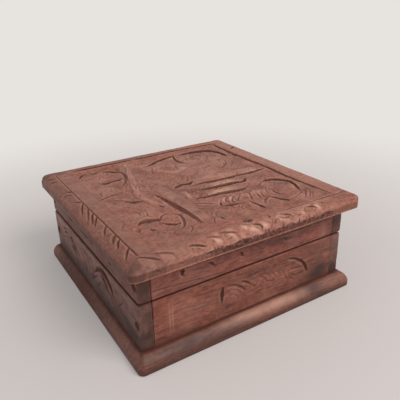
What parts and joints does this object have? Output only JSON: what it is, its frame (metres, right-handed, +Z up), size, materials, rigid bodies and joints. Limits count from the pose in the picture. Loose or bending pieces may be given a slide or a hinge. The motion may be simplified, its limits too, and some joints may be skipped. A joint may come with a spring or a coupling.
{
  "type": "carved wooden box",
  "caption": "Small square nailed wooden box with a carved, overhanging hinged lid and a moulded base board.",
  "frame": {"origin": "on the table, under the middle of the base board", "axes": "+Z up, front of the box towards -Y, hinges at the back towards +Y, +X to the right of someone facing the front"},
  "size_m": [0.1024, 0.1024, 0.043],
  "materials": {
    "body_wood": "hand-carved reddish-brown hardwood, worn satin, dark in the cuts",
    "lid_wood": "hand-carved reddish-brown hardwood with a pale streak along the front edge, worn satin",
    "hinge_brass": "aged brass, dull with brown tarnish",
    "nail_steel": "dark oxidised iron wire nails"
  },
  "bodies": {
    "box": {"base_board": "body_wood", "front_wall": "body_wood", "back_wall": "body_wood", "left_wall": "body_wood", "right_wall": "body_wood", "left_hinge_body_leaf": "hinge_brass", "left_hinge_pin": "hinge_brass", "left_hinge_body_left_nail": "hinge_brass", "left_hinge_body_right_nail": "hinge_brass", "right_hinge_body_leaf": "hinge_brass", "right_hinge_pin": "hinge_brass", "right_hinge_body_left_nail": "hinge_brass", "right_hinge_body_right_nail": "hinge_brass", "base_front_nail": "nail_steel", "base_right_nail": "nail_steel", "base_back_nail": "nail_steel", "base_left_nail": "nail_steel", "left_wall_front_nail": "nail_steel", "left_wall_back_nail": "nail_steel", "right_wall_front_nail": "nail_steel", "right_wall_back_nail": "nail_steel"},
    "lid": {"lid_board": "lid_wood", "lid_front_rail": "lid_wood", "lid_back_rail": "lid_wood", "lid_left_rail": "lid_wood", "lid_right_rail": "lid_wood", "left_hinge_lid_leaf": "hinge_brass", "left_hinge_lid_left_nail": "hinge_brass", "left_hinge_lid_right_nail": "hinge_brass", "right_hinge_lid_leaf": "hinge_brass", "right_hinge_lid_left_nail": "hinge_brass", "right_hinge_lid_right_nail": "hinge_brass", "lid_front_nail": "nail_steel", "lid_right_nail": "nail_steel", "lid_back_nail": "nail_steel", "lid_left_nail": "nail_steel", "lid_left_rail_front_nail": "nail_steel", "lid_left_rail_back_nail": "nail_steel", "lid_right_rail_front_nail": "nail_steel", "lid_right_rail_back_nail": "nail_steel"}
  },
  "joints": [
    {"name": "lid_hinge", "type": "hinge", "parent": "box", "child": "lid", "pos_m": [0, 0.04835, 0.02565], "axis": [-1, 0, 0], "range_deg": [0, 170]}
  ]
}
